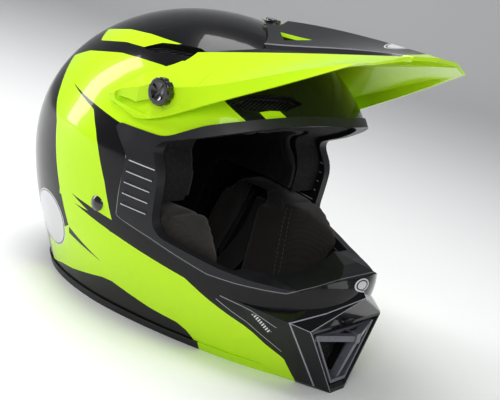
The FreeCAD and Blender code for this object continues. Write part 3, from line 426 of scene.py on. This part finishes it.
def outer_face(node):
    """Corners of the node's largest flat face in order, its normal, and its thickness."""
    mesh = NODES[node].data
    totals = {}
    for face in mesh.polygons:
        key = tuple(round(c, 1) for c in face.normal)
        totals[key] = totals.get(key, 0) + face.area
    normal = Vector(max(totals, key=totals.get)).normalized()
    best = max(mesh.polygons, key=lambda f: f.area if f.normal.dot(normal) > 0.98 else 0)
    normal = best.normal.copy()
    level = max(v.co.dot(normal) for v in mesh.vertices)
    thick = level - min(v.co.dot(normal) for v in mesh.vertices)
    face_points = [v.co.copy() for v in mesh.vertices if level - v.co.dot(normal) < 0.00005]
    middle = sum(face_points, Vector()) / len(face_points)
    across = (face_points[0] - middle).normalized()
    up = normal.cross(across)
    face_points.sort(key=lambda p: atan2((p - middle).dot(up), (p - middle).dot(across)))
    return face_points, normal, thick, middle


def clipped(corners, normal, start, way, low=-1.0, high=1.0):
    """The stretch of a line inside a convex polygon, or None."""
    for p, q in zip(corners, corners[1:] + corners[:1]):
        inward = normal.cross(q - p).normalized()
        depth, rate = (start - p).dot(inward), way.dot(inward)
        if abs(rate) < 1e-9:
            if depth < 0:
                return None
            continue
        at = -depth / rate
        if rate > 0:
            low = max(low, at)
        else:
            high = min(high, at)
    return (start + way * low, start + way * high) if high - low > 0.0008 else None


def lattice(name, node, pitch, wire, ways, long_way):
    """Wire mesh with a rim, in the place of a flat CAD plate."""
    corners, normal, thick, middle = outer_face(node)
    if len(corners) > 2 and normal.cross(corners[1] - corners[0]).dot(middle - corners[0]) < 0:
        corners.reverse()
    along = (long_way - normal * long_way.dot(normal)).normalized()
    across = normal.cross(along)
    points, faces = [], []
    for k, angle in enumerate(ways):
        way = along * cos(radians(angle)) + across * sin(radians(angle))
        step = normal.cross(way)
        depth = normal * -(thick * 0.5 + (k - 0.5) * wire * MM * 0.9)
        for i in range(-60, 61):
            cut = clipped(corners, normal, middle + step * (i * pitch * MM), way)
            if cut:
                tube(points, faces, cut[0] + depth, cut[1] + depth, wire * MM / 2)
    for p, q in zip(corners, corners[1:] + corners[:1]):
        inward = (middle - (p + q) / 2).normalized() * 0.0006
        if (q - p).length > 0.001:
            tube(points, faces, p + inward - normal * thick / 2, q + inward - normal * thick / 2, 0.0006, 8)
    piece = new_piece(name, points, faces, "helmet", mesh_metal)
    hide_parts(node)
    return piece


# ---- soft pieces ------------------------------------------------------------------------
def evaluated_mesh(piece):
    depsgraph = bpy.context.evaluated_depsgraph_get()
    return bpy.data.meshes.new_from_object(piece.evaluated_get(depsgraph))


def puffed(name, node, body, material, voxel=4.0, pressure=4.0, cap=4.0, shrink=1.2, rounds=4):
    """A padded piece: the CAD solid remeshed, softened and blown up like a cushion."""
    mesh = NODES[node].data.copy()
    piece = bpy.data.objects.new(name, mesh)
    bpy.context.collection.objects.link(piece)
    remesh = piece.modifiers.new("Remesh", "REMESH")
    remesh.mode = "VOXEL"
    remesh.voxel_size = voxel * MM
    smooth = piece.modifiers.new("Smooth", "SMOOTH")
    smooth.iterations = rounds
    smooth.factor = 0.5
    bpy.context.view_layer.update()
    base = evaluated_mesh(piece)
    piece.modifiers.clear()
    piece.data = base
    for vertex in base.vertices:
        vertex.co -= vertex.normal * shrink * MM
    base.update()
    rest = [v.co.copy() for v in base.vertices]
    cloth = piece.modifiers.new("Cloth", "CLOTH")
    settings = cloth.settings
    settings.quality = 6
    settings.mass = 0.3
    settings.tension_stiffness = 18
    settings.compression_stiffness = 18
    settings.bending_stiffness = 0.8
    settings.use_pressure = True
    settings.uniform_pressure_force = pressure
    settings.effector_weights.gravity = 0
    cloth.point_cache.frame_start = 1
    cloth.point_cache.frame_end = 20
    for step in range(1, 21):
        scene.frame_set(step)
    blown = evaluated_mesh(piece)
    piece.modifiers.clear()
    for vertex, start, end in zip(base.vertices, rest, blown.vertices):
        move = end.co - start
        limit = cap * MM
        vertex.co = start + (move * (limit / move.length) if move.length > limit else move)
    base.update()
    scene.frame_set(1)
    base.materials.clear()
    base.materials.append(material)
    for face in base.polygons:
        face.use_smooth = True
        face.material_index = 0
    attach(piece, body)
    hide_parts(node)
    return piece


def refine(piece):
    """One level of subdivision, applied."""
    piece.modifiers.new("Fine", "SUBSURF").levels = 1
    bpy.context.view_layer.update()
    fine = evaluated_mesh(piece)
    piece.modifiers.clear()
    piece.data = fine
    for face in fine.polygons:
        face.use_smooth = True


def sewn(piece, distance, width, depth, where=None):
    """Pulls the surface in along a seam; distance(point) is how far a point is from it, in mm."""
    for vertex in piece.data.vertices:
        if where and not where(vertex):
            continue
        away = distance(vertex.co / MM)
        if away < width * 2.5:
            vertex.co -= vertex.normal * (depth * MM * exp(-(away / width)**2))
    piece.data.update()


def stitches(name, piece, starts, way, body, length=2.6, gap=1.6, radius=0.28, closed=False):
    """Short threads laid on a piece along a line of points cast onto it."""
    tree = BVHTree.FromPolygons([v.co for v in piece.data.vertices],
                                [tuple(f.vertices) for f in piece.data.polygons])
    hits = []
    for start in starts:
        hit = tree.ray_cast(Vector(start) * MM, Vector(way))
        hits.append((hit[0] + hit[1] * 0.0001) if hit[0] else None)
    points, faces = [], []
    left, laying = length * MM, True
    for p, q in zip(hits, hits[1:]):
        if p is None or q is None:
            continue
        run = (q - p).length
        at = 0.0
        while run - at > 1e-7:
            step = min(left, run - at)
            if laying and step > 0.0003:
                tube(points, faces, p.lerp(q, at / run), p.lerp(q, (at + step) / run), radius * MM, 5)
            at += step
            left -= step
            if left < 1e-7:
                laying = not laying
                left = (length if laying else gap) * MM
    return new_piece(name, points, faces, body, thread)


# ---- finish the CAD pieces ----------------------------------------------------------------
scene = bpy.context.scene
paint = shell_paint()
trim_rubber = rubber("port_rubber", (0.009, 0.009, 0.011), 0.40, lines=True)
edge_rubber = rubber("edge_rubber", (0.012, 0.012, 0.013), 0.5)
mesh_metal = plastic("vent_wire", (0.02, 0.02, 0.022), 0.4)
grille_paint = plastic("grille_paint", (0.085, 0.085, 0.105), 0.30, grain=0.5, coat=0.3)
gloss_black = plastic("gloss_black", (0.006, 0.006, 0.007), 0.18, grain=3, depth=0.02, coat=0.8)
matte_black = plastic("matte_black", (0.015, 0.015, 0.016), 0.55)
steel = metal("plated_steel", (0.55, 0.55, 0.57), 0.26)
black_steel = metal("black_steel", (0.05, 0.05, 0.055), 0.35)
brass = metal("brass", (0.72, 0.50, 0.20), 0.3)
pad_cloth = knit("pad_cloth", (0.024, 0.021, 0.0195), 1.5, sheen=0.15)
lining_cloth = knit("lining_cloth", (0.010, 0.010, 0.0115), 2.2, depth=0.4, sheen=0.08)
webbing = webbing_cloth()
thread = plastic("thread", (0.09, 0.09, 0.095), 0.7, grain=0.3)

shown("outer_shell", paint)
shown("peak", peak_paint())
shown("eye_port_trim", trim_rubber)
shown("base_trim", base_edge())
shown("chin_vent_grille", grille_paint)
shown("crown_liner", bead_foam())
shown("chin_liner", bead_foam())
shown("peak_screw_top", gloss_black)
shown("peak_insert_top", brass)
shown("d_ring_inner", steel)
shown("d_ring_outer", steel)
shown("strap_snap_stud", black_steel)
for _, label in SIDES:
    shown(f"peak_screw_{label}", gloss_black)
    shown(f"peak_washer_{label}", edge_rubber)
    shown(f"peak_insert_{label}", brass)
    shown(f"cheek_pad_base_{label}", matte_black)
    shown(f"cheek_snaps_{label}", matte_black)
    shown(f"strap_rivet_{label}", gloss_black)
    shown(f"strap_hanger_{label}", black_steel)

lattice("chin_mesh_wires", "chin_vent_mesh", 2.6, 0.75, (45, -45), Vector((1, 0, 0)))
for side, label in SIDES:
    lattice(f"brow_vent_wires_{label}", f"brow_vent_mesh_{label}", 2.3, 0.7, (40, -40),
            Vector((-side, -0.9, 0.3)))
    lattice(f"crown_vent_wires_{label}", f"crown_vent_mesh_{label}", 2.3, 0.7, (30, 90),
            Vector((0, -1, 0.2)))
    lattice(f"rear_vent_wires_{label}", f"rear_vent_mesh_{label}", 2.3, 0.7, (40, -40), Vector((0, 0, 1)))

# ---- chin strap -----------------------------------------------------------------------------
def rounded_path(corners, radius=7.0, steps=5):
    """A line in the XZ plane with its corners rounded."""
    path = [Vector(corners[0])]
    for before, corner, after in zip(corners, corners[1:], corners[2:]):
        before, corner, after = Vector(before), Vector(corner), Vector(after)
        trim = min(radius, (before - corner).length * 0.45, (after - corner).length * 0.45)
        a = corner + (before - corner).normalized() * trim
        b = corner + (after - corner).normalized() * trim
        for k in range(steps + 1):
            t = k / steps
            path.append(a * (1 - t)**2 + corner * (2 * t * (1 - t)) + b * t**2)
    path.append(Vector(corners[-1]))
    return path


def around(centre, radius, start, end, steps=12):
    """An arc in the XZ plane, angles in degrees."""
    angles = [radians(start + (end - start) * k / steps) for k in range(steps + 1)]
    return [(centre[0] + radius * cos(a), centre[1] + radius * sin(a)) for a in angles]


def even_path(path, step=1.2):
    """The same line with points a step apart."""
    found, left = [path[0]], step
    for p, q in zip(path, path[1:]):
        run, at = (q - p).length, 0.0
        while run - at > left:
            at += left
            found.append(p.lerp(q, at / run))
            left = step
        left -= run - at
    return found


def ribbon(name, path, body, node, side=1, width=24.6, thickness=1.6, threads=()):
    """Webbing along a line, its edges rounded, with rows of stitching laid on both faces."""
    path = even_path(path)
    points, faces = [], []
    half, t = width / 2, thickness / 2
    section = [(-half, 0), (-half + 0.5, t * 0.8), (-half + 1.6, t), (half - 1.6, t),
               (half - 0.5, t * 0.8), (half, 0), (half - 0.5, -t * 0.8), (half - 1.6, -t),
               (-half + 1.6, -t), (-half + 0.5, -t * 0.8)]
    count = len(section)
    frames = []
    for i, p in enumerate(path):
        way = (path[min(i + 1, len(path) - 1)] - path[max(i - 1, 0)]).normalized()
        frames.append((p, Vector((-way.y, way.x))))
    for i, (p, normal) in enumerate(frames):
        for across, out in section:
            q = p + normal * out
            points.append(Vector((q.x * side, STRAP_Y + across, q.y)) * MM)
        for k in range(count if i else 0):
            a, b = (i - 1) * count + k, (i - 1) * count + (k + 1) % count
            face = (a, b, b + count, a + count)
            faces.append(face if side > 0 else face[::-1])
    ends = (tuple(range(count)), tuple((len(frames) - 1) * count + k for k in reversed(range(count))))
    faces += [end if side < 0 else end[::-1] for end in ends]
    piece = new_piece(name, points, faces, body, webbing)
    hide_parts(node)
    if threads:
        stitched, sewing = [], []
        for first, last, across_from, across_to, face_side in threads:
            a, b = frames[first], frames[last]
            spots = []
            for (p, normal), across in ((a, across_from), (b, across_to)):
                q = p + normal * (face_side * (t + 0.1))
                spots.append(Vector((q.x * side, STRAP_Y + across, q.y)) * MM)
            length = (spots[1] - spots[0]).length
            total = max(1, round(length / (3.4 * MM)))
            for k in range(total):
                tube(stitched, sewing, spots[0].lerp(spots[1], (k + 0.12) / total),
                     spots[0].lerp(spots[1], (k + 0.82) / total), 0.33 * MM, 5)
        new_piece(f"{name}_stitches", stitched, sewing, body, thread)
    return piece


def box_stitch(first, last, half=9.5, face_side=1):
    """A sewn box with its diagonals, between two places along a ribbon."""
    return [(first, last, -half, -half, face_side), (first, last, half, half, face_side),
            (first, first, -half, half, face_side), (last, last, -half, half, face_side),
            (first, last, -half, half, face_side), (first, last, half, -half, face_side)]


STRAP_Y = 10.0
BAR = (110.45, 84.0)               # the hanger's bar, as (x, z)
RING_OUTER = (54.0, 47.0)          # the far ring's straight bar, as (x, z)
FOLD_R = 2.75                      # middle of the webbing where it goes round a bar
long_path = rounded_path([(105.4, 60.0), (112.9, 82.0)], 3)
long_path += [Vector(p) for p in around(BAR, FOLD_R, -12, 200)]
long_path += rounded_path([(105.8, 74.0), (99.0, 52), (72, 24), (38, 10), (24, 8.4)], 14)
ribbon("strap_webbing_left", long_path, "strap_left", "strap_left",
       threads=box_stitch(3, 14, face_side=-1) + box_stitch(3, 14, face_side=1))
hem = rounded_path([(38.5, 11.9), (27, 9.9), (14.6, 9.3), (13.9, 8.3), (14.6, 7.3), (25, 7.6)], 1.6)
ribbon("strap_webbing_left_hem", hem, "strap_left", "strap_left",
       threads=box_stitch(2, 10, face_side=1)[:4])
short_path = rounded_path([(104.6, 65.0), (113.0, 83.0)], 3)
short_path += [Vector(p) for p in around(BAR, FOLD_R, -12, 200)]
short_path += rounded_path([(104.6, 72.5), (100.4, 66.0), (84, 55.5), (63, 51.9), (55.2, 50.0)], 10)
short_path += [Vector(p) for p in around(RING_OUTER, FOLD_R, 80, 285)]
short_path += rounded_path([(60.5, 45.9), (66, 48.6), (82, 52.0)], 5)
ribbon("strap_webbing_right", short_path, "strap_right", "strap_right", -1,
       threads=box_stitch(3, 12, face_side=-1))

# ---- padding --------------------------------------------------------------------------------
def pad_seam(z):
    """Where the seam across a cheek pad runs, as y at a height."""
    return -52 + (z - 60) * 0.12


for side, label in SIDES:
    pad = puffed(f"cheek_pad_cloth_{label}", f"cheek_pad_{label}", f"cheek_pad_{label}", pad_cloth)
    refine(pad)
    sewn(pad, lambda p: abs(p.y - pad_seam(p.z)), 2.0, 1.6)
    sewn(pad, lambda p: abs(p.y - 36 + p.z * 0.1), 1.8, 1.2)
    for row in (-2.9, 2.9):
        line = [(side * 15, pad_seam(z) + row, z) for z in range(18, 106)]
        stitches(f"cheek_pad_thread_{label}_{'a' if row < 0 else 'b'}", pad, line, (side, 0, 0),
                 f"cheek_pad_{label}")
roll = puffed("neck_roll_cloth", "neck_roll", "helmet", pad_cloth, voxel=4.0, cap=3.0)
refine(roll)
sewn(roll, lambda p: abs(p.z - 25), 1.8, 1.2)
lining = puffed("comfort_lining", "comfort_liner", "helmet", lining_cloth, voxel=3.5, cap=3.0, shrink=0.8)
refine(lining)
sewn(lining, lambda p: abs(abs(p.x) - 30), 1.8, 1.4)
sewn(lining, lambda p: abs(p.y - 34) if abs(p.x) < 30 else 99.0, 1.8, 1.4)
for at in (-33, -27, 27, 33):
    line = [(at, y, 120) for y in range(-62, 118)]
    stitches(f"lining_thread_{'left' if at > 0 else 'right'}_{abs(at)}", lining, line, (0, 0, 1), "helmet")

# ---- floor, light, camera ---------------------------------------------------------------------
def sweep_floor():
    """A floor that curves up into a wall far behind."""
    profile = [(-3.0, 0.0), (2.2, 0.0)]
    profile += [(2.2 + 0.8 * sin(radians(a)), 0.8 - 0.8 * cos(radians(a))) for a in range(10, 91, 10)]
    profile.append((3.0, 3.2))
    turn = Matrix.Rotation(CAMERA_AZ, 3, "Z")
    points = [turn @ Vector((x, y, z)) for y, z in profile for x in (-4.5, 4.5)]
    faces = [(2 * i, 2 * i + 1, 2 * i + 3, 2 * i + 2) for i in range(len(profile) - 1)]
    mesh = bpy.data.meshes.new("floor")
    mesh.from_pydata([tuple(p) for p in points], [], faces)
    for face in mesh.polygons:
        face.use_smooth = True
    s = Shader("floor_paper", Specular_IOR_Level=0.2)
    s.paint(s.mix(s.noise(300, 2), (0.90, 0.90, 0.90), (0.93, 0.93, 0.93)))
    s.rough(0.7)
    mesh.materials.append(s.material)
    ground = bpy.data.objects.new("floor", mesh)
    bpy.context.collection.objects.link(ground)


def softbox(name, at, aim, width, height, power, colour=(1, 1, 1)):
    light = bpy.data.lights.new(name, "AREA")
    light.shape = "RECTANGLE"
    light.size, light.size_y = width, height
    light.energy = power
    light.color = colour
    lamp = bpy.data.objects.new(name, light)
    lamp.location = at
    lamp.rotation_euler = (Vector(aim) - Vector(at)).to_track_quat("-Z", "Y").to_euler()
    bpy.context.collection.objects.link(lamp)


CAMERA_AZ, CAMERA_EL, CAMERA_ROLL = radians(-55.5), radians(14.7), radians(15.4)
PIVOT_M, DISTANCE_M, SHIFT_M = Vector((0, -0.001, 0.120)), 0.850, (-0.0329, 0.0200)


def set_camera():
    right = Vector((cos(CAMERA_AZ), sin(CAMERA_AZ), 0))
    back = Vector((sin(CAMERA_AZ) * cos(CAMERA_EL), -cos(CAMERA_AZ) * cos(CAMERA_EL), sin(CAMERA_EL)))
    up = back.cross(right)
    c, s = cos(CAMERA_ROLL), sin(CAMERA_ROLL)
    across, high = right * c + up * s, up * c - right * s
    spot = PIVOT_M - across * SHIFT_M[0] - high * SHIFT_M[1] + back * DISTANCE_M
    data = bpy.data.cameras.new("camera")
    data.lens, data.sensor_width = 69.05, 36.0
    data.clip_start, data.clip_end = 0.05, 30
    camera = bpy.data.objects.new("camera", data)
    turn = Matrix((across, high, back)).transposed().to_4x4()
    camera.matrix_world = Matrix.Translation(spot) @ turn
    bpy.context.collection.objects.link(camera)
    scene.camera = camera


set_camera()
sweep_floor()
world = bpy.data.worlds.new("studio")
world.use_nodes = True
world.node_tree.nodes["Background"].inputs[0].default_value = (0.95, 0.97, 1.0, 1.0)
world.node_tree.nodes["Background"].inputs[1].default_value = 0.24
scene.world = world
scene.view_settings.view_transform = "Standard"
softbox("top_box", (-0.1, 0.25, 1.4), (0, 0, 0.1), 1.0, 0.7, 15)
softbox("key_box", (-1.35, -0.75, 1.0), (0, 0, 0.12), 0.7, 0.9, 10)
softbox("rear_strip", (-0.7, 1.5, 0.7), (0, 0.1, 0.15), 0.35, 1.3, 15)
softbox("front_fill", (0.5, -1.6, 0.45), (0, -0.1, 0.12), 0.8, 0.8, 5)
